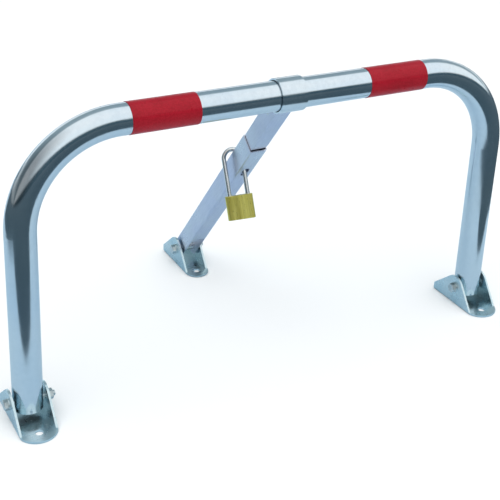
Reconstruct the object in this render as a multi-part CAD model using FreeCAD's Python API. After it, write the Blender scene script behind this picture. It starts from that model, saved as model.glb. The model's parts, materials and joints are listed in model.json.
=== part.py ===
import FreeCAD, Part
import math
import os

V = FreeCAD.Vector
X_AXIS = V(1, 0, 0)
Y_AXIS = V(0, 1, 0)
Z_AXIS = V(0, 0, 1)

# Driving dimensions, in millimetres and degrees.
# The origin lies on the ground, midway between the anchor holes of the two front feet.
# The arch stands across X, its strut runs back along +Y, and it folds down towards -Y.
TUBE_R = 20.0
TUBE_WALL = 2.0
PIVOT_SPAN = 726.0
LEG_SPLAY = 1.5
BEND_R = 130.0
BAR_RISE = 369.0
TUBE_END_DROP = 10.0

PIVOT_Z = 27.0
HOLE_TO_PIVOT = 43.0
REAR_PIVOT_BACK = 301.0
STRUT_X = 6.0

FOOT_T = 3.0
FOOT_BEND_R = 2.4
FRONT_GAP = 45.0
REAR_GAP = 33.0
EAR_R = 20.0
EAR_BACK = 48.0
EAR_BACK_H = 12.0
TONGUE_ARC = 19.0
ANCHOR_R = 5.5

BOLT_R = 4.0
RUN_R = 4.06
BOLT_HOLE_R = 4.4
HEAD_FLATS = 13.0
HEAD_H = 5.3
NUT_H = 6.5
WASHER_R = 8.0
WASHER_T = 1.6
THREAD_STICKOUT = 3.0
BUSH_R = 6.0
WELD_GAP = 0.05

BAND_CENTRE = 171.0
BAND_LEN = 91.0
BAND_GAP = 0.02
BAND_T = 0.5

OUTER_W = 27.0
OUTER_D = 30.0
OUTER_LEN = 352.0
OUTER_WALL = 1.5
LIP = 2.5
CORNER_R = 2.5
INNER_W = 23.2
INNER_D = 26.0
STEP_BACK = 5.8
TAPER_START = 112.0
TAPER_END = 190.0
INNER_LEN = 372.0
INNER_WALL = 2.0
SLIDE_GAP = 0.5
NOTCH_TOP = 62.0

COLLAR_W = 37.0
COLLAR_R = 20.8
COLLAR_WALL = 2.2
TAB_REACH = 52.0
RIVET_R = 2.5
RIVET_DROPS = (31.0, 44.0)

LOCK_STATION = 287.0
LOCK_HOLE_R = 5.5
LOCK_HOLE_RUN = 9.0
LOCK_TILT = 23.0
LOCK_YAW = 26.0
LEG_IN_HOLE_X = 1.2
WIRE_R = 3.25
LEG_SPACING = 26.5
SHACKLE_CLEAR = 63.5
TOE_IN_BODY = 9.0
HEEL_IN_BODY = 22.0
LOCK_W = 40.0
LOCK_H = 35.0
LOCK_T = 17.0
LOCK_EDGE_R = 5.0
LOCK_RIM_R = 0.8
CROWN_LIFT = 3.4
PLUG_R = 4.5
CYLINDER_R = 7.0
CYLINDER_LEN = 26.0
LEG_FIT = 0.1
PLUG_FIT = 0.06
PLUG_SETBACK = 0.5
PLUG_LEN = 23.0
KEYWAY_W = 2.2
KEYWAY_H = 6.8
KEYWAY_DEPTH = 18.0
PIN_R = 1.4
PIN_LEN = 2.0
PIN_PROUD = 0.3
PIN_PLACES = (-15.0, -11.0, 11.0, 15.0)

# Places worked out from the dimensions above.
BAR_Y = HOLE_TO_PIVOT
BAR_Z = PIVOT_Z + BAR_RISE
REAR_Y = HOLE_TO_PIVOT + REAR_PIVOT_BACK
STRUT_LEN = math.hypot(REAR_PIVOT_BACK, BAR_RISE)
STRUT_RISE = math.degrees(math.atan2(BAR_RISE, REAR_PIVOT_BACK))
HALF_PIVOTS = PIVOT_SPAN / 2
LEG_LEAN = math.tan(math.radians(STRUT_RISE - LOCK_TILT))


def box(x0, x1, y0, y1, z0, z1):
    return Part.makeBox(x1 - x0, y1 - y0, z1 - z0, V(x0, y0, z0))


def rod(radius, length, base, axis):
    return Part.makeCylinder(radius, length, base, axis)


def tube(outer, inner, length, base, axis):
    return rod(outer, length, base, axis).cut(rod(inner, length, base, axis))


def hex_prism(flats, height, base):
    corner = flats / math.sqrt(3)
    turns = [math.radians(60 * i) for i in range(7)]
    points = [base + V(0, corner * math.cos(a), corner * math.sin(a)) for a in turns]
    return Part.Face(Part.makePolygon(points)).extrude(V(height, 0, 0))


def along_strut(shape, pivot):
    """Stand a shape drawn along +Z with its web on -Y up along the strut, from a pivot."""
    placed = shape.copy()
    placed.rotate(V(0, 0, 0), X_AXIS, 90 - STRUT_RISE)
    placed.translate(pivot)
    return placed


def strut_point(offset, station):
    """World position of a point on the strut's middle plane, in the strut's own axes."""
    turn = FreeCAD.Rotation(X_AXIS, 90 - STRUT_RISE)
    return turn.multVec(V(0, offset, station)) + REAR_PIVOT


REAR_PIVOT = V(STRUT_X, REAR_Y, PIVOT_Z)
BAR_PIVOT = V(STRUT_X, BAR_Y, BAR_Z)


# Feet: pressed U-brackets, drawn with the pivot above the origin and the tongue towards -Y.

def ear_face():
    """Side outline of an ear: an arc over the pivot running down to a low back and front end."""
    front_low = V(0, -HOLE_TO_PIVOT, FOOT_T)
    back_low = V(0, EAR_BACK, EAR_BACK_H)
    centre = V(0, 0, PIVOT_Z)

    def tangent(point, side):
        offset = point - centre
        spread = math.acos(EAR_R / offset.Length)
        angle = math.atan2(offset.z, offset.y) + side * spread
        return centre + V(0, EAR_R * math.cos(angle), EAR_R * math.sin(angle))

    front_top = tangent(front_low, -1)
    back_top = tangent(back_low, 1)
    edges = [
        Part.makeLine(V(0, -HOLE_TO_PIVOT, 0), front_low),
        Part.makeLine(front_low, front_top),
        Part.Arc(front_top, V(0, 0, PIVOT_Z + EAR_R), back_top).toShape(),
        Part.makeLine(back_top, back_low),
        Part.makeLine(back_low, V(0, EAR_BACK, 0)),
        Part.makeLine(V(0, EAR_BACK, 0), V(0, -HOLE_TO_PIVOT, 0)),
    ]
    return Part.Face(Part.Wire(edges))


def foot(gap):
    half = gap / 2 + FOOT_T
    front = -HOLE_TO_PIVOT
    nose = Part.Arc(V(-half, front, 0), V(0, front - TONGUE_ARC, 0), V(half, front, 0)).toShape()
    outline = Part.Wire([
        nose,
        Part.makeLine(V(half, front, 0), V(half, EAR_BACK, 0)),
        Part.makeLine(V(half, EAR_BACK, 0), V(-half, EAR_BACK, 0)),
        Part.makeLine(V(-half, EAR_BACK, 0), V(-half, front, 0)),
    ])
    base = Part.Face(outline).extrude(V(0, 0, FOOT_T))
    ears = []
    for x in (-half, gap / 2):
        ear = ear_face().extrude(V(FOOT_T, 0, 0))
        ear.translate(V(x, 0, 0))
        ears.append(ear)
    body = base.fuse(ears).removeSplitter()
    corners = [e for e in body.Edges if is_long_corner(e, half) or is_back_corner(e)]
    body = body.makeFillet(FOOT_BEND_R, corners)
    body = body.cut(rod(BOLT_HOLE_R, 2 * half + 2, V(-half - 1, 0, PIVOT_Z), X_AXIS))
    return body.cut(rod(ANCHOR_R, FOOT_T + 2, V(0, front, -1), Z_AXIS))


def is_long_corner(edge, half):
    """The outer bend of the bracket, along the bottom of each ear."""
    a, b = edge.Vertexes[0].Point, edge.Vertexes[-1].Point
    low = max(a.z, b.z) < 0.01
    side = abs(abs(a.x) - half) < 0.01 and abs(a.x - b.x) < 0.01
    return low and side


def is_back_corner(edge):
    """The rounded corner at the low back end of each ear."""
    points = [v.Point for v in edge.Vertexes]
    at_back = all(abs(p.y - EAR_BACK) < 0.01 and abs(p.z - EAR_BACK_H) < 0.01 for p in points)
    return at_back and len(points) == 2


FOOT_PLACES = {
    "foot_left": (V(-HALF_PIVOTS, HOLE_TO_PIVOT, 0), FRONT_GAP),
    "foot_right": (V(HALF_PIVOTS, HOLE_TO_PIVOT, 0), FRONT_GAP),
    "foot_rear": (V(STRUT_X, REAR_Y, 0), REAR_GAP),
}


def feet():
    made = {}
    for name, (place, gap) in FOOT_PLACES.items():
        shape = foot(gap)
        shape.translate(place)
        made[name] = shape
    return made


# Pivot fasteners: a hex bolt through each foot, with its head to the left and nut to the right.

def bolt(gap):
    seat = -(gap / 2 + FOOT_T + WASHER_T)
    shank = 2 * -seat + NUT_H + THREAD_STICKOUT
    head = hex_prism(HEAD_FLATS, HEAD_H, V(seat - HEAD_H, 0, 0))
    return head.fuse(rod(BOLT_R, shank, V(seat, 0, 0), X_AXIS)).removeSplitter()


def nut(gap):
    seat = gap / 2 + FOOT_T + WASHER_T
    return hex_prism(HEAD_FLATS, NUT_H, V(seat, 0, 0)).cut(
        rod(BOLT_R, NUT_H, V(seat, 0, 0), X_AXIS))


def washers(gap):
    face = gap / 2 + FOOT_T
    return [tube(WASHER_R, BOLT_HOLE_R, WASHER_T, V(x, 0, 0), X_AXIS)
            for x in (-face - WASHER_T, face)]


def fasteners():
    groups = {"front_bolts": [], "rear_bolt": [], "pivot_nuts": [], "pivot_washers": []}
    for name, (place, gap) in FOOT_PLACES.items():
        axis_point = place + V(0, 0, PIVOT_Z)
        bolt_group = "rear_bolt" if name == "foot_rear" else "front_bolts"
        fitted = [(bolt_group, bolt(gap)), ("pivot_nuts", nut(gap))]
        fitted += [("pivot_washers", w) for w in washers(gap)]
        for group, shape in fitted:
            shape.translate(axis_point)
            groups[group].append(shape)
    return {name: Part.makeCompound(solids) for name, solids in groups.items()}


def rear_spacers():
    """Loose washers that centre the strut between the rear ears."""
    gap = REAR_GAP / 2 - OUTER_W / 2
    thickness = gap - SLIDE_GAP
    starts = (-REAR_GAP / 2 + SLIDE_GAP / 2, OUTER_W / 2 + SLIDE_GAP / 2)
    solids = []
    for x in starts:
        ring = tube(WASHER_R, BOLT_HOLE_R, thickness, REAR_PIVOT + V(x, 0, 0), X_AXIS)
        solids.append(ring)
    return Part.makeCompound(solids)


# Arch: one bent round tube with a welded bush across each leg at its pivot.

def arch_path():
    splay = math.radians(LEG_SPLAY)
    corner_x = HALF_PIVOTS - BAR_RISE * math.tan(splay)
    turn = math.pi / 2 - splay
    cut_back = BEND_R * math.tan(turn / 2)
    leg_up = V(-math.sin(splay), 0, math.cos(splay))
    corner = V(corner_x, BAR_Y, BAR_Z)
    foot_end = V(HALF_PIVOTS, BAR_Y, PIVOT_Z) - leg_up * TUBE_END_DROP
    bend_low = corner - leg_up * cut_back
    bend_high = corner - X_AXIS * cut_back
    centre = bend_high - Z_AXIS * BEND_R
    outward = (corner - centre).normalize()
    middle = centre + outward * BEND_R

    def mirror(p):
        return V(-p.x, p.y, p.z)

    edges = [
        Part.makeLine(foot_end, bend_low),
        Part.Arc(bend_low, middle, bend_high).toShape(),
        Part.makeLine(bend_high, mirror(bend_high)),
        Part.Arc(mirror(bend_high), mirror(middle), mirror(bend_low)).toShape(),
        Part.makeLine(mirror(bend_low), mirror(foot_end)),
    ]
    return Part.Wire(edges), foot_end, leg_up


def arch_tube():
    path, start, direction = arch_path()

    def sweep(radius):
        profile = Part.Wire([Part.makeCircle(radius, start, direction)])
        return path.makePipeShell([profile], True, False)

    pipe = sweep(TUBE_R).cut(sweep(TUBE_R - TUBE_WALL))
    for side in (-1, 1):
        base = V(side * HALF_PIVOTS - 2 * TUBE_R, BAR_Y, PIVOT_Z)
        pipe = pipe.cut(rod(BUSH_R + WELD_GAP, 4 * TUBE_R, base, X_AXIS))
    return pipe


def arch_bushes():
    solids = []
    for side in (-1, 1):
        base = V(side * HALF_PIVOTS - TUBE_R, BAR_Y, PIVOT_Z)
        solids.append(tube(BUSH_R, RUN_R, 2 * TUBE_R, base, X_AXIS))
    return Part.makeCompound(solids)


def red_band(side):
    base = V(side * BAND_CENTRE - BAND_LEN / 2, BAR_Y, BAR_Z)
    inner = TUBE_R + BAND_GAP
    return tube(inner + BAND_T, inner, BAND_LEN, base, X_AXIS)


# Strut: a lipped outer channel on the rear foot and an inner channel that slides out of it.

def rounded_bar(half_w, y0, y1, radius, z0, z1):
    bar = box(-half_w, half_w, y0, y1, z0, z1)
    lengthwise = [e for e in bar.Edges if abs(e.Vertexes[0].Z - e.Vertexes[1].Z) > 1]
    return bar.makeFillet(radius, lengthwise)


def slot_cutter(radius, run, station, web_y):
    """A cutter through a web at web_y: a slot of width 2 * radius running up from a station."""
    base = V(0, web_y - 5, station)
    low = rod(radius, 10, base, Y_AXIS)
    high = rod(radius, 10, base + V(0, 0, run), Y_AXIS)
    middle = box(-radius, radius, web_y - 5, web_y + 5, station, station + run)
    return low.fuse([high, middle])


def lower_channel():
    half_w, half_d, wall = OUTER_W / 2, OUTER_D / 2, OUTER_WALL
    shell = rounded_bar(half_w, -half_d, half_d, CORNER_R, -half_d, OUTER_LEN)
    end_round = rod(half_d, OUTER_W, V(-half_w, 0, 0), X_AXIS)
    shell = shell.common(end_round.fuse(box(-half_w, half_w, -half_d, half_d, 0, OUTER_LEN)))
    inner_r = CORNER_R - wall
    inside = rounded_bar(half_w - wall, -half_d + wall, half_d - wall, inner_r, -50, OUTER_LEN + 1)
    mouth = box(-half_w + LIP, half_w - LIP, 0, half_d + 1, -50, OUTER_LEN + 1)
    channel = shell.cut(inside.fuse(mouth))
    notch_r = half_w - wall
    notch = rod(notch_r, OUTER_D / 2, V(0, -half_d - 1, NOTCH_TOP - notch_r), Y_AXIS)
    notch = notch.fuse(box(-notch_r, notch_r, -half_d - 1, 0, -50, NOTCH_TOP - notch_r))
    channel = channel.cut(notch)
    channel = channel.cut(rod(RUN_R, OUTER_W + 2, V(-half_w - 1, 0, 0), X_AXIS))
    hole = slot_cutter(LOCK_HOLE_R, LOCK_HOLE_RUN, LOCK_STATION, -half_d)
    return along_strut(channel.cut(hole), REAR_PIVOT)


def rear_bush():
    length = OUTER_W - 2 * OUTER_WALL
    return tube(BUSH_R, RUN_R, length, REAR_PIVOT - X_AXIS * (length / 2), X_AXIS)


INNER_BACK = OUTER_D / 2 - OUTER_WALL - SLIDE_GAP
INNER_WEB = INNER_BACK - INNER_D
DEEP_WEB = INNER_WEB + STEP_BACK


def side_plate(inset, overrun):
    """Side outline of the inner channel: full depth outside, set back where it slides."""
    outline = [
        V(0, INNER_BACK + overrun, overrun),
        V(0, INNER_WEB + inset, overrun),
        V(0, INNER_WEB + inset, -TAPER_START),
        V(0, DEEP_WEB + inset, -TAPER_END),
        V(0, DEEP_WEB + inset, -INNER_LEN - overrun),
        V(0, INNER_BACK + overrun, -INNER_LEN - overrun),
    ]
    return Part.Face(Part.makePolygon(outline + outline[:1]))


def upper_channel():
    half_w, wall = INNER_W / 2, INNER_WALL
    shell = side_plate(0, 0).extrude(V(INNER_W, 0, 0))
    shell.translate(V(-half_w, 0, 0))
    folds = [e for e in shell.Edges if is_fold(e)]
    shell = shell.makeFillet(CORNER_R - OUTER_WALL, folds)
    inside = side_plate(wall, 1).extrude(V(INNER_W - 2 * wall, 0, 0))
    inside.translate(V(-half_w + wall, 0, 0))
    channel = shell.cut(inside)
    leg_station = LOCK_STATION + (DEEP_WEB + OUTER_D / 2) * LEG_LEAN
    slot_top = leg_station - STRUT_LEN + LOCK_HOLE_RUN
    slot = slot_cutter(LOCK_HOLE_R, INNER_LEN, slot_top - INNER_LEN, DEEP_WEB)
    channel = channel.cut(slot)
    reach = COLLAR_R + COLLAR_WALL + WELD_GAP
    channel = channel.cut(rod(reach, INNER_W + 2, V(-half_w - 1, 0, 0), X_AXIS))
    channel = channel.cut(rivet_holes(INNER_W + 2))
    return along_strut(channel, BAR_PIVOT)


def is_fold(edge):
    """The bends between the inner channel's web and its two sides."""
    points = [v.Point for v in edge.Vertexes]
    on_web = all(p.y < DEEP_WEB + 0.01 for p in points)
    return on_web and abs(points[0].x - points[1].x) < 0.01 and abs(points[0].z - points[1].z) > 1


def rivet_holes(length):
    holes = [rod(RIVET_R, length, V(-length / 2, RIVET_Y, -drop), X_AXIS) for drop in RIVET_DROPS]
    return Part.makeCompound(holes)


RIVET_Y = INNER_WEB + INNER_D / 2


def strut_collar():
    """A ring round the bar with two tabs that lie inside the inner channel's sides."""
    outer = COLLAR_R + COLLAR_WALL
    base = V(-COLLAR_W / 2, 0, 0)
    ring = tube(outer, COLLAR_R, COLLAR_W, base, X_AXIS)
    tab_x = INNER_W / 2 - INNER_WALL - WELD_GAP
    tabs = []
    for x0, x1 in ((-tab_x, -tab_x + COLLAR_WALL), (tab_x - COLLAR_WALL, tab_x)):
        y0 = INNER_WEB + INNER_WALL + WELD_GAP
        tabs.append(box(x0, x1, y0, INNER_BACK - 1, -TAB_REACH, 0))
    clear_bar = rod(COLLAR_R, COLLAR_W, base, X_AXIS)
    collar = ring.fuse([tab.cut(clear_bar) for tab in tabs]).removeSplitter()
    return along_strut(collar.cut(rivet_holes(INNER_W)), BAR_PIVOT)


def collar_rivets():
    solids = []
    for drop in RIVET_DROPS:
        for side in (-1, 1):
            outer = INNER_W / 2
            start = -outer if side < 0 else outer - INNER_WALL - COLLAR_WALL - WELD_GAP
            length = INNER_WALL + COLLAR_WALL + WELD_GAP
            solids.append(rod(RIVET_R, length, V(start, RIVET_Y, -drop), X_AXIS))
    return along_strut(Part.makeCompound(solids), BAR_PIVOT)


# Padlock: drawn with the shackle's crown centre at the origin and its legs down -Z.

BODY_TOP = -(SHACKLE_CLEAR - (LEG_SPACING / 2 - WIRE_R))
LEG_X = LEG_SPACING / 2


def place_lock(shape):
    """Hook the crown over the outer channel's left lip, with the right leg in the lock hole.

    The lock is turned about that leg, so that its left leg hangs further back.
    """
    station = LOCK_STATION + OUTER_D * LEG_LEAN
    placed = shape.copy()
    placed.translate(V(-LEG_X, 0, CROWN_LIFT - LEG_X))
    placed.rotate(V(0, 0, 0), Z_AXIS, -LOCK_YAW)
    placed.rotate(V(0, 0, 0), X_AXIS, -LOCK_TILT)
    placed.translate(strut_point(OUTER_D / 2, station) + X_AXIS * LEG_IN_HOLE_X)
    return placed


def padlock_shackle():
    heel_end = BODY_TOP - HEEL_IN_BODY
    toe_end = BODY_TOP - TOE_IN_BODY
    path = Part.Wire([
        Part.makeLine(V(-LEG_X, 0, heel_end), V(-LEG_X, 0, 0)),
        Part.Arc(V(-LEG_X, 0, 0), V(0, 0, LEG_X), V(LEG_X, 0, 0)).toShape(),
        Part.makeLine(V(LEG_X, 0, 0), V(LEG_X, 0, toe_end)),
    ])
    profile = Part.Wire([Part.makeCircle(WIRE_R, V(-LEG_X, 0, heel_end), Z_AXIS)])
    return path.makePipeShell([profile], True, False)


def padlock_body():
    bottom = BODY_TOP - LOCK_H
    block = box(-LOCK_W / 2, LOCK_W / 2, -LOCK_T / 2, LOCK_T / 2, bottom, BODY_TOP)
    uprights = [e for e in block.Edges if abs(e.Vertexes[0].Z - e.Vertexes[1].Z) > LOCK_H - 1]
    block = block.makeFillet(LOCK_EDGE_R, uprights)
    rims = [e for e in block.Edges if is_rim(e, bottom)]
    block = block.makeFillet(LOCK_RIM_R, rims)
    for x, leg_depth in ((-LEG_X, HEEL_IN_BODY), (LEG_X, TOE_IN_BODY)):
        floor = BODY_TOP - leg_depth - 1
        block = block.cut(rod(WIRE_R + LEG_FIT, leg_depth + 2, V(x, 0, floor), Z_AXIS))
    block = block.cut(rod(CYLINDER_R + WELD_GAP, CYLINDER_LEN, V(0, 0, bottom), Z_AXIS))
    return block


def is_rim(edge, bottom):
    """An edge all round the body's top or bottom face."""
    heights = [v.Z for v in edge.Vertexes]
    return any(all(abs(z - level) < 0.01 for z in heights) for level in (BODY_TOP, bottom))


def lock_cylinder():
    base = V(0, 0, BODY_TOP - LOCK_H)
    return tube(CYLINDER_R, PLUG_R + PLUG_FIT, CYLINDER_LEN - 1, base, Z_AXIS)


def key_plug():
    bottom = BODY_TOP - LOCK_H
    plug = rod(PLUG_R, PLUG_LEN, V(0, 0, bottom + PLUG_SETBACK), Z_AXIS)
    half_w, half_h = KEYWAY_W / 2, KEYWAY_H / 2
    keyway = box(-half_w, half_w, -half_h, half_h, bottom, bottom + KEYWAY_DEPTH)
    return plug.cut(keyway)


def pin_plugs():
    """Small brass plugs that close the pin chambers, flush in the body's underside."""
    bottom = BODY_TOP - LOCK_H
    return [rod(PIN_R, PIN_LEN, V(x, 0, bottom - PIN_PROUD), Z_AXIS) for x in PIN_PLACES]


def padlock():
    pins = pin_plugs()
    body = padlock_body()
    for pin in pins:
        body = body.cut(pin)
    return {
        "padlock_shackle": place_lock(padlock_shackle()),
        "padlock_body": place_lock(body),
        "lock_cylinder": place_lock(lock_cylinder()),
        "key_plug": place_lock(key_plug()),
        "pin_plugs": place_lock(Part.makeCompound(pins)),
    }


def all_nodes():
    nodes = {}
    nodes.update(feet())
    nodes.update(fasteners())
    nodes["rear_spacers"] = rear_spacers()
    nodes["arch_tube"] = arch_tube()
    nodes["arch_bushes"] = arch_bushes()
    nodes["red_band_left"] = red_band(-1)
    nodes["red_band_right"] = red_band(1)
    nodes["lower_channel"] = lower_channel()
    nodes["rear_bush"] = rear_bush()
    nodes["upper_channel"] = upper_channel()
    nodes["strut_collar"] = strut_collar()
    nodes["collar_rivets"] = collar_rivets()
    nodes.update(padlock())
    return nodes


os.makedirs("parts", exist_ok=True)
for node_name, node_shape in all_nodes().items():
    node_shape.exportStep(os.path.join("parts", node_name + ".step"))
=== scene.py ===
import bpy
import json
import math
from mathutils import Matrix, Vector


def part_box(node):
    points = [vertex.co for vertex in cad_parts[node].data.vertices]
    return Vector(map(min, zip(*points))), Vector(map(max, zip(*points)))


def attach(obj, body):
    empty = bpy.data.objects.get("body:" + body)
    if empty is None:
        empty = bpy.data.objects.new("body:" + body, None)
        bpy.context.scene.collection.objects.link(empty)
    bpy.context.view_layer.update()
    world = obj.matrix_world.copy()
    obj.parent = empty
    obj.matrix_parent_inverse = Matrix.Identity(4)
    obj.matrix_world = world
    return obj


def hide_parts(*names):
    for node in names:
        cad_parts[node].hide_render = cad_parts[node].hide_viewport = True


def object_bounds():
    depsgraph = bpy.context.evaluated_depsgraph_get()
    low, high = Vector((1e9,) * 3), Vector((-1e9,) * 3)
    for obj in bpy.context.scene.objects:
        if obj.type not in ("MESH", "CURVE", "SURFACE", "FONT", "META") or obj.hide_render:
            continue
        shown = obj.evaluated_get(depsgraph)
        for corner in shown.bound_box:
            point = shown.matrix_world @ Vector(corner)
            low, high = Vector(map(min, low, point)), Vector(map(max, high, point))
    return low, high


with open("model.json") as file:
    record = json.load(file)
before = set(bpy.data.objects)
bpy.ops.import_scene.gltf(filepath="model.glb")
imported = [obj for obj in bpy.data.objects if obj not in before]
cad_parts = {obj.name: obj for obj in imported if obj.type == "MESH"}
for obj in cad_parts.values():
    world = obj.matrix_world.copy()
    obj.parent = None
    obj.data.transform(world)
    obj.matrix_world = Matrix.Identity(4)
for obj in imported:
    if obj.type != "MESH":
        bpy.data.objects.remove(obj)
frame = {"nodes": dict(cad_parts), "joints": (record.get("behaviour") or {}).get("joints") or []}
cad_low, cad_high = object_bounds()
nodes = frame["nodes"]
joints = {joint["name"]: joint for joint in frame["joints"]}

# Places read from the frame, in metres.
bar_point = Vector(joints["collar_turn"]["pos_m"])
rear_pivot = Vector(joints["strut_turn"]["pos_m"])
front_pivot = Vector(joints["arch_fold"]["pos_m"])
leg_direction = Vector(joints["padlock_release"]["axis"])
strut_direction = (bar_point - rear_pivot).normalized()
strut_lean = math.atan2(-strut_direction.y, strut_direction.z)
lock_lean = math.atan2(leg_direction.y, -leg_direction.z)


# Materials. The range of a noise that is stretched over a material's own low and high value:
NOISE_LOW = 0.3
NOISE_HIGH = 0.7


class Look:
    """One procedural material built around a principled shader.

    noise, cells, ramp, multiply and rescale each return a node's output socket.
    """

    def __init__(self, name, metallic, turn=0.0):
        self.material = bpy.data.materials.new(name)
        self.material.use_nodes = True
        self.tree = self.material.node_tree
        self.shader = self.tree.nodes["Principled BSDF"]
        self.shader.inputs["Metallic"].default_value = metallic
        place = self.tree.nodes.new("ShaderNodeTexCoord").outputs["Object"]
        straighten = self.tree.nodes.new("ShaderNodeMapping")
        straighten.inputs["Rotation"].default_value = (turn, 0, 0)
        self.link(place, straighten.inputs["Vector"])
        self.place = straighten.outputs["Vector"]

    def link(self, source, target):
        self.tree.links.new(source, target)

    def set(self, **values):
        """Sets shader sockets that are the same all over the surface."""
        for socket, value in values.items():
            self.shader.inputs[socket.replace("_", " ")].default_value = value

    def noise(self, scale, detail, stretch=(1, 1, 1), offset=0.0):
        mapping = self.tree.nodes.new("ShaderNodeMapping")
        mapping.inputs["Scale"].default_value = stretch
        mapping.inputs["Location"].default_value = (offset, offset, offset)
        self.link(self.place, mapping.inputs["Vector"])
        node = self.tree.nodes.new("ShaderNodeTexNoise")
        node.inputs["Scale"].default_value = scale
        node.inputs["Detail"].default_value = detail
        self.link(mapping.outputs["Vector"], node.inputs["Vector"])
        return node.outputs["Fac"]

    def cells(self, scale):
        node = self.tree.nodes.new("ShaderNodeTexVoronoi")
        node.inputs["Scale"].default_value = scale
        self.link(self.place, node.inputs["Vector"])
        return node.outputs["Distance"]

    def ramp(self, value, stops):
        node = self.tree.nodes.new("ShaderNodeValToRGB")
        ramp = node.color_ramp
        while len(ramp.elements) < len(stops):
            ramp.elements.new(0.5)
        for element, (position, colour) in zip(ramp.elements, stops):
            element.position = position
            element.color = (*colour, 1)
        self.link(value, node.inputs["Fac"])
        return node.outputs["Color"]

    def multiply(self, factor, first, second):
        node = self.tree.nodes.new("ShaderNodeMix")
        node.data_type = "RGBA"
        node.blend_type = "MULTIPLY"
        node.inputs["Factor"].default_value = factor
        self.link(first, node.inputs["A"])
        self.link(second, node.inputs["B"])
        return node.outputs["Result"]

    def rescale(self, value, low, high):
        node = self.tree.nodes.new("ShaderNodeMapRange")
        node.inputs["From Min"].default_value = NOISE_LOW
        node.inputs["From Max"].default_value = NOISE_HIGH
        node.inputs["To Min"].default_value = low
        node.inputs["To Max"].default_value = high
        self.link(value, node.inputs["Value"])
        return node.outputs["Result"]

    def colour(self, value):
        self.link(value, self.shader.inputs["Base Color"])

    def roughness(self, value):
        self.link(value, self.shader.inputs["Roughness"])

    def bump(self, height, distance, strength):
        """Adds a bump over the ones that the shader already has."""
        node = self.tree.nodes.new("ShaderNodeBump")
        node.inputs["Strength"].default_value = strength
        node.inputs["Distance"].default_value = distance
        self.link(height, node.inputs["Height"])
        previous = self.shader.inputs["Normal"].links
        if previous:
            self.link(previous[0].from_socket, node.inputs["Normal"])
        self.link(node.outputs["Normal"], self.shader.inputs["Normal"])


def tube_zinc():
    """Bright zinc plate on the tube: cloudy tints, a fine speckle and small pits."""
    look = Look("tube_zinc", 1.0)
    tints = [(0.35, (0.66, 0.76, 0.84)), (0.55, (0.72, 0.80, 0.85)), (0.78, (0.75, 0.81, 0.84))]
    clouds = look.ramp(look.noise(9.0, 4.0), tints)
    speckle_tints = [(0.35, (0.86, 0.88, 0.9)), (0.6, (1, 1, 1))]
    speckle = look.ramp(look.noise(160.0, 2.0, offset=3.0), speckle_tints)
    look.colour(look.multiply(0.3, clouds, speckle))
    look.roughness(look.rescale(look.noise(22.0, 5.0, offset=1.0), 0.12, 0.20))
    look.bump(look.noise(420.0, 2.0), 0.00004, 0.35)
    look.bump(look.noise(10.0, 2.0, offset=5.0), 0.0005, 0.2)
    return look.material


def strut_zinc():
    """Zinc plated sheet: rolled grain along the strut over the plate's tints."""
    look = Look("strut_zinc", 1.0, -strut_lean)
    tints = [(0.30, (0.62, 0.66, 0.84)), (0.52, (0.70, 0.73, 0.84)), (0.75, (0.74, 0.79, 0.85))]
    clouds = look.ramp(look.noise(11.0, 4.0), tints)
    grain = look.noise(60.0, 4.0, stretch=(12, 12, 1))
    streaks = look.ramp(grain, [(0.3, (0.84, 0.86, 0.88)), (0.65, (1, 1, 1))])
    look.colour(look.multiply(0.7, clouds, streaks))
    look.roughness(look.rescale(look.noise(18.0, 5.0, offset=2.0), 0.24, 0.42))
    look.bump(grain, 0.00008, 0.4)
    look.bump(look.noise(500.0, 2.0), 0.00005, 0.4)
    return look.material


def foot_zinc():
    """Pressed feet: a slightly greener, duller plate with handling scuffs."""
    look = Look("foot_zinc", 1.0)
    tints = [(0.32, (0.56, 0.74, 0.80)), (0.55, (0.66, 0.80, 0.84)), (0.78, (0.74, 0.84, 0.86))]
    clouds = look.ramp(look.noise(26.0, 5.0), tints)
    scuff_tints = [(0.34, (0.84, 0.86, 0.88)), (0.5, (1, 1, 1))]
    scuffs = look.ramp(look.noise(90.0, 6.0, stretch=(1, 4, 1)), scuff_tints)
    look.colour(look.multiply(0.6, clouds, scuffs))
    look.roughness(look.rescale(look.noise(40.0, 5.0, offset=2.0), 0.20, 0.36))
    look.bump(look.noise(240.0, 3.0), 0.00008, 0.4)
    return look.material


def fastener_steel():
    """Plated steel of the bolts, nuts, washers, bushes and rivets."""
    look = Look("fastener_steel", 1.0)
    tints = [(0.35, (0.50, 0.58, 0.60)), (0.65, (0.78, 0.82, 0.82))]
    look.colour(look.ramp(look.noise(120.0, 4.0), tints))
    look.roughness(look.rescale(look.noise(200.0, 3.0), 0.22, 0.42))
    look.bump(look.noise(600.0, 2.0), 0.00006, 0.6)
    return look.material


def red_tape():
    """Glossy reflective tape: fine cells under a clear skin, worn paler in places."""
    look = Look("red_tape", 0.0)
    cells = look.cells(520.0)
    base = look.ramp(cells, [(0.1, (0.40, 0.010, 0.024)), (0.75, (0.31, 0.006, 0.016))])
    wear = look.ramp(look.noise(34.0, 6.0), [(0.45, (1, 1, 1)), (0.85, (0.78, 0.74, 0.74))])
    look.colour(look.multiply(1.0, base, wear))
    look.roughness(look.rescale(look.noise(60.0, 4.0), 0.26, 0.40))
    look.bump(cells, 0.00005, 0.3)
    look.set(Coat_Weight=0.1, Coat_Roughness=0.15, IOR=1.4, Specular_IOR_Level=0.2)
    return look.material


# Below 1, which keeps some of the brass's own colour where it reflects the dark ground.
BRASS_METALLIC = 0.72


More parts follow.
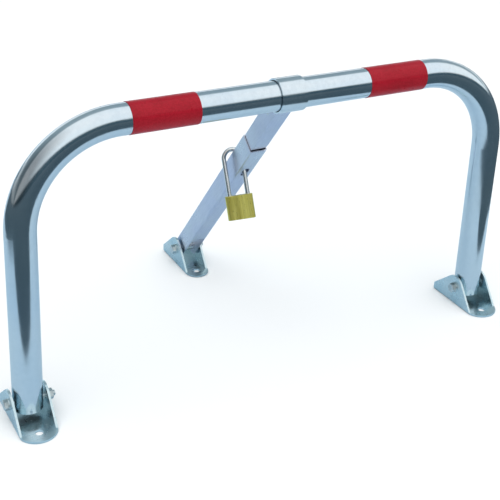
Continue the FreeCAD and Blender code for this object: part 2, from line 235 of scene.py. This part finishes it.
def brass(name, dark, light, lock_turn):
    """Satin brass with a fine grain, and broader light and dark streaks along the padlock's height that
    are painted highlights and painted shade in the base colour.
    """
    look = Look(name, BRASS_METALLIC, lock_turn)
    grain = look.noise(70.0, 5.0, stretch=(14, 14, 0.6))
    # Painted highlights and painted shade: soft light and dark streaks along the padlock's height, mixed
    # into the grain's colour.
    painted_highlight_tints = [(0.36, (0.62, 0.60, 0.50)), (0.62, (1, 1, 1))]
    painted_highlight_bands = look.ramp(look.noise(95.0, 1.0, stretch=(1, 1, 0.05)), painted_highlight_tints)
    look.colour(look.multiply(0.85, look.ramp(grain, [(0.28, dark), (0.72, light)]), painted_highlight_bands))
    look.roughness(look.rescale(look.noise(120.0, 4.0, stretch=(8, 8, 1)), 0.26, 0.42))
    look.bump(grain, 0.00008, 0.5)
    return look.material


def shackle_chrome():
    """Polished steel, slightly uneven in tone and gloss."""
    look = Look("shackle_chrome", 1.0, lock_lean)
    tints = [(0.3, (0.78, 0.80, 0.80)), (0.7, (0.93, 0.94, 0.93))]
    look.colour(look.ramp(look.noise(150.0, 4.0, stretch=(4, 4, 1)), tints))
    look.roughness(look.rescale(look.noise(80.0, 4.0), 0.07, 0.18))
    look.bump(look.noise(500.0, 2.0), 0.00003, 0.4)
    return look.material


# Fasteners: chamfered hex heads and nuts, and threaded bolt ends, in place of the plain CAD
# ones. Lengths are in metres, and every ring is a pair of its x and its points' radii.

SIDES_ROUND = 72
HEX_APOTHEM = 0.0065
HEX_CORNER = HEX_APOTHEM / math.cos(math.radians(30))
HEX_CHAMFER = 0.0009
HEX_FACE_RADIUS = HEX_APOTHEM * 0.96
CHAMFER_STEPS = (0.0, 0.4, 0.75, 1.0)
HEAD_H = 0.0053
HEAD_DISH = 0.0003
DISH_FLOOR_R = 0.0036
DISH_RIM_R = 0.0046
NUT_H = 0.0065
WASHER_T = 0.0016
BOLT_R = 0.004
THREAD_PITCH = 0.00125
THREAD_DEPTH = 0.00055
THREAD_ROOT = (0.4, 0.6)  # start and end of the groove's floor, in pitches
THREAD_STICKOUT = 0.003
SHARP_EDGE = math.radians(28)


def hex_ring(x, limit):
    """A hexagon's outline at x, its corners cut back to a circle of the given radius."""
    radii = []
    for i in range(SIDES_ROUND):
        from_flat = (i * 360 / SIDES_ROUND) % 60 - 30
        radii.append(min(HEX_APOTHEM / math.cos(math.radians(from_flat)), limit))
    return x, radii


def round_ring(x, radius):
    return x, [radius] * SIDES_ROUND


def chamfered_hex(start, end, start_cut, end_cut):
    """Rings of a hex block from start to end, with its corners turned down where asked."""
    rise = HEX_CORNER - HEX_FACE_RADIUS
    first = [(0.0, HEX_CORNER)]
    last = [(0.0, HEX_CORNER)]
    if start_cut:
        first = [(HEX_CHAMFER * t, HEX_FACE_RADIUS + rise * t) for t in CHAMFER_STEPS]
    if end_cut:
        last = [(HEX_CHAMFER * t, HEX_FACE_RADIUS + rise * t) for t in CHAMFER_STEPS[::-1]]
    return [hex_ring(start + x, r) for x, r in first] + [hex_ring(end - x, r) for x, r in last]


def thread_rings(start, end):
    """Ridged rings up to a turned-down tip."""
    rings = []
    x = start
    while x + THREAD_PITCH < end - THREAD_DEPTH:
        rings.append(round_ring(x, BOLT_R))
        for part in THREAD_ROOT:
            rings.append(round_ring(x + THREAD_PITCH * part, BOLT_R - THREAD_DEPTH))
        x += THREAD_PITCH
    rings.append(round_ring(end - THREAD_DEPTH, BOLT_R))
    rings.append(round_ring(end, BOLT_R - THREAD_DEPTH))
    return rings


def bolt_rings(left, right):
    """A bolt from its head outside the left washer to its tip beyond the right nut."""
    head_out = left - WASHER_T - HEAD_H
    seat = left - WASHER_T
    nut_end = right + WASHER_T + NUT_H
    dish = [round_ring(head_out + HEAD_DISH, DISH_FLOOR_R), round_ring(head_out, DISH_RIM_R)]
    rings = dish + chamfered_hex(head_out, seat, True, False)
    return rings + [round_ring(seat, BOLT_R)] + thread_rings(nut_end, nut_end + THREAD_STICKOUT)


def nut_rings(left, right):
    """A nut on the right washer. left is unused: turned_piece calls bolts and nuts alike."""
    start = right + WASHER_T
    rings = chamfered_hex(start, start + NUT_H, True, True)
    return [round_ring(start, BOLT_R)] + rings + [round_ring(start + NUT_H, BOLT_R)]


def turned_piece(name, material, makers, node):
    """One piece made of ring stacks set on the pivot axes of the named feet."""
    points, faces = [], []
    for foot_name, rings_of in makers:
        low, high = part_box(foot_name)
        pivot = rear_pivot if foot_name == "foot_rear" else front_pivot
        rings = rings_of(low[0], high[0])
        first = len(points)
        for x, radii in rings:
            for i, radius in enumerate(radii):
                angle = 2 * math.pi * i / SIDES_ROUND
                points.append((x, pivot.y + radius * math.cos(angle), pivot.z + radius * math.sin(angle)))
        for k in range(len(rings) - 1):
            for i in range(SIDES_ROUND):
                here, after = first + k * SIDES_ROUND, first + (k + 1) * SIDES_ROUND
                j = (i + 1) % SIDES_ROUND
                faces.append((here + i, here + j, after + j, after + i))
        last = first + (len(rings) - 1) * SIDES_ROUND
        faces.append(tuple(first + i for i in reversed(range(SIDES_ROUND))))
        faces.append(tuple(last + i for i in range(SIDES_ROUND)))
    mesh = bpy.data.meshes.new(name)
    mesh.from_pydata(points, [], faces)
    mesh.validate()
    for face in mesh.polygons:
        face.use_smooth = True
    mesh.set_sharp_from_angle(angle=SHARP_EDGE)
    mesh.update()
    piece = bpy.data.objects.new(name, mesh)
    bpy.context.scene.collection.objects.link(piece)
    mesh.materials.append(material)
    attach(piece, "feet")
    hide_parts(node)


def turned_fasteners(steel):
    fronts = ("foot_left", "foot_right")
    turned_piece("front_bolts_turned", steel, [(foot, bolt_rings) for foot in fronts], "front_bolts")
    turned_piece("rear_bolt_turned", steel, [("foot_rear", bolt_rings)], "rear_bolt")
    all_feet = fronts + ("foot_rear",)
    turned_piece("pivot_nuts_turned", steel, [(foot, nut_rings) for foot in all_feet], "pivot_nuts")


def dress(names, material):
    for name in names:
        slots = nodes[name].data.materials
        slots.clear()
        slots.append(material)


def dress_all():
    dress(["arch_tube", "strut_collar"], tube_zinc())
    dress(["upper_channel", "lower_channel"], strut_zinc())
    dress(["foot_left", "foot_right", "foot_rear"], foot_zinc())
    steel = fastener_steel()
    turned_fasteners(steel)
    dress(["pivot_washers", "rear_spacers", "rear_bush", "arch_bushes", "collar_rivets"], steel)
    dress(["red_band_left", "red_band_right"], red_tape())
    lock_brass = brass("lock_brass", (0.62, 0.56, 0.10), (0.86, 0.80, 0.24), -lock_lean)
    dress(["padlock_body"], lock_brass)
    plug_brass = brass("plug_brass", (0.42, 0.33, 0.11), (0.72, 0.60, 0.26), -lock_lean)
    dress(["lock_cylinder", "key_plug", "pin_plugs"], plug_brass)
    dress(["padlock_shackle"], shackle_chrome())


# Studio: a white floor and backdrop, a soft light overhead, and the surroundings that the
# bright metal picks up: a pale blue tabletop that ends in front, with dark beyond its edge.

FLOOR_RADIUS = 40.0
FLOOR_DROP = 0.0002
BACKDROP_HEIGHT = 30.0
TABLE_REACH = 20.0
TABLE_LIFT = 0.0001
# The pale tabletop's outline as x, and y from the front pivot. Its front edge bulges towards
# the camera below the bar, which places the dark band and wedges that the tube reflects.
TABLE_EDGE = [
    (-0.90, TABLE_REACH), (-0.90, -0.10), (-0.86, -0.19), (-0.42, -0.172), (-0.26, -0.23),
    (-0.12, -0.31), (0.02, -0.38), (0.16, -0.41), (0.28, -0.38), (0.36, -0.27),
    (0.42, -0.19), (0.50, -0.155), (0.70, -0.10), (0.78, 0.25), (0.80, TABLE_REACH),
]


def stage_mesh(name, points, faces):
    mesh = bpy.data.meshes.new(name)
    mesh.from_pydata(points, [], faces)
    thing = bpy.data.objects.new(name, mesh)
    bpy.context.scene.collection.objects.link(thing)
    return thing


def only_seen_by(thing, camera=False, glossy=False):
    """Shows a stage object to the camera or to reflections, and to nothing else."""
    thing.visible_camera = camera
    thing.visible_glossy = glossy
    thing.visible_diffuse = False
    thing.visible_shadow = False
    thing.visible_transmission = False
    thing.visible_volume_scatter = False


def ring_points(radius, height, count=96):
    turns = [2 * math.pi * i / count for i in range(count)]
    return [(radius * math.cos(a), radius * math.sin(a), height) for a in turns]


def floor():
    """A white disc just under the feet, left out of the metal's reflections."""
    rim = ring_points(FLOOR_RADIUS, cad_low.z - FLOOR_DROP)
    disc = stage_mesh("floor", rim, [tuple(range(len(rim)))])
    look = Look("floor_paper", 0.0)
    whites = [(0.3, (0.94, 0.945, 0.95)), (0.7, (0.95, 0.95, 0.95))]
    look.colour(look.ramp(look.noise(1.5, 2.0), whites))
    look.set(Roughness=0.9)
    disc.data.materials.append(look.material)
    disc.visible_glossy = False


def backdrop():
    """A glowing white wall round the floor's rim that only the camera sees."""
    rim = ring_points(FLOOR_RADIUS, cad_low.z - FLOOR_DROP)
    top = ring_points(FLOOR_RADIUS, BACKDROP_HEIGHT)
    count = len(rim)
    walls = [(i, (i + 1) % count, count + (i + 1) % count, count + i) for i in range(count)]
    wall = stage_mesh("backdrop", rim + top, walls)
    glow = Look("backdrop_glow", 0.0)
    glow.set(Base_Color=(0, 0, 0, 1), Emission_Color=(1, 1, 1, 1), Emission_Strength=1.0)
    wall.data.materials.append(glow.material)
    only_seen_by(wall, camera=True)


def table_card(name, lift, corners, tints):
    """A piece of tabletop that only shows in reflections."""
    height = cad_low.z + TABLE_LIFT * lift
    points = [(x, front_pivot.y + y, height) for x, y in corners]
    card = stage_mesh(name, points, [tuple(range(len(points)))])
    look = Look(name + "_paint", 0.0)
    look.colour(look.ramp(look.noise(2.0, 2.0), tints))
    look.set(Roughness=1.0)
    card.data.materials.append(look.material)
    only_seen_by(card, glossy=True)


def table():
    """A pale tabletop over a dark ground, both seen only in reflections."""
    ground = [(x * TABLE_REACH, y * TABLE_REACH) for x, y in ((-1, 1), (-1, -1), (1, -1), (1, 1))]
    dark_tints = [(0.3, (0.040, 0.068, 0.088)), (0.7, (0.048, 0.080, 0.100))]
    pale_tints = [(0.3, (0.430, 0.560, 0.665)), (0.7, (0.465, 0.585, 0.675))]
    table_card("table_dark", 1, ground, dark_tints)
    table_card("table_pale", 2, TABLE_EDGE, pale_tints)


# The sky's colours by elevation in degrees, from the front horizon (0) over the top (90) to
# the back horizon (180).
SKY = [
    (0, (0.050, 0.090, 0.115)),
    (14, (0.050, 0.090, 0.115)),
    (22, (0.93, 0.98, 1.00)),
    (70, (1.00, 1.01, 1.02)),
    (108, (0.95, 0.99, 1.01)),
    (116, (0.30, 0.38, 0.42)),
    (156, (0.28, 0.36, 0.40)),
    (164, (0.85, 0.93, 0.97)),
    (180, (0.90, 0.95, 0.98)),
]
# The sky is dimmer to the left: two x values of a direction, then the sky's strength at each.
SKY_LEFT_FADE = (-0.80, -0.30, 0.35, 1.05)


def sky():
    """A strip of soft light over the object, dark in front and greyer high up behind."""
    world = bpy.data.worlds.new("studio")
    bpy.context.scene.world = world
    world.use_nodes = True
    tree = world.node_tree
    background = tree.nodes["Background"]
    direction = tree.nodes.new("ShaderNodeTexCoord").outputs["Generated"]
    split = tree.nodes.new("ShaderNodeSeparateXYZ")
    tree.links.new(direction, split.inputs["Vector"])
    front = tree.nodes.new("ShaderNodeMath")
    front.operation = "MULTIPLY"
    front.inputs[1].default_value = -1.0
    tree.links.new(split.outputs["Y"], front.inputs[0])
    angle = tree.nodes.new("ShaderNodeMath")
    angle.operation = "ARCTAN2"
    tree.links.new(split.outputs["Z"], angle.inputs[0])
    tree.links.new(front.outputs[0], angle.inputs[1])
    turn = tree.nodes.new("ShaderNodeMapRange")
    turn.inputs["From Max"].default_value = math.pi
    tree.links.new(angle.outputs[0], turn.inputs["Value"])
    ramp = tree.nodes.new("ShaderNodeValToRGB")
    tree.links.new(turn.outputs["Result"], ramp.inputs["Fac"])
    while len(ramp.color_ramp.elements) < len(SKY):
        ramp.color_ramp.elements.new(0.5)
    for element, (elevation, colour) in zip(ramp.color_ramp.elements, SKY):
        element.position = elevation / 180
        element.color = (*colour, 1)
    tree.links.new(ramp.outputs["Color"], background.inputs["Color"])
    side = tree.nodes.new("ShaderNodeMapRange")
    for socket, value in zip(("From Min", "From Max", "To Min", "To Max"), SKY_LEFT_FADE):
        side.inputs[socket].default_value = value
    tree.links.new(split.outputs["X"], side.inputs["Value"])
    tree.links.new(side.outputs["Result"], background.inputs["Strength"])


KEY_DIRECTION = Vector((-0.28, -0.24, 1.0))
KEY_STRENGTH = 1.5
KEY_SOFTNESS = math.radians(65)


def key_light():
    """A broad, even light from above, kept out of the metal's reflections."""
    data = bpy.data.lights.new("key_light", "SUN")
    data.energy = KEY_STRENGTH
    data.angle = KEY_SOFTNESS
    lamp = bpy.data.objects.new("key_light", data)
    lamp.rotation_mode = "QUATERNION"
    lamp.rotation_quaternion = KEY_DIRECTION.to_track_quat("Z", "Y")
    lamp.visible_glossy = False
    bpy.context.scene.collection.objects.link(lamp)


# Camera: stands in front, to the left and above, slightly rolled. It aims at a point that is
# given from the front pivot, in metres.
CAMERA_AIM = Vector((-0.0392, 0, 0.1504))
CAMERA_AZIMUTH = -29.4
CAMERA_ELEVATION = 28.1
CAMERA_ROLL = 2.44
CAMERA_DISTANCE = 1.430
LENS_MM = 74.9
SENSOR_MM = 36.0
CLIP_START = 0.05


def camera():
    data = bpy.data.cameras.new("camera")
    data.lens = LENS_MM
    data.sensor_width = SENSOR_MM
    data.clip_start = CLIP_START
    eye = bpy.data.objects.new("camera", data)
    azimuth = math.radians(CAMERA_AZIMUTH)
    elevation = math.radians(CAMERA_ELEVATION)
    flat = math.cos(elevation)
    back = Vector((math.sin(azimuth) * flat, -math.cos(azimuth) * flat, math.sin(elevation)))
    target = front_pivot + CAMERA_AIM
    turn = (-back).to_track_quat("-Z", "Y").to_matrix().to_4x4()
    roll = Matrix.Rotation(math.radians(CAMERA_ROLL), 4, "Z")
    eye.matrix_world = Matrix.Translation(target + back * CAMERA_DISTANCE) @ turn @ roll
    bpy.context.scene.collection.objects.link(eye)
    bpy.context.scene.camera = eye


dress_all()
floor()
backdrop()
table()
sky()
key_light()
camera()
bpy.context.scene.view_settings.view_transform = "Standard"
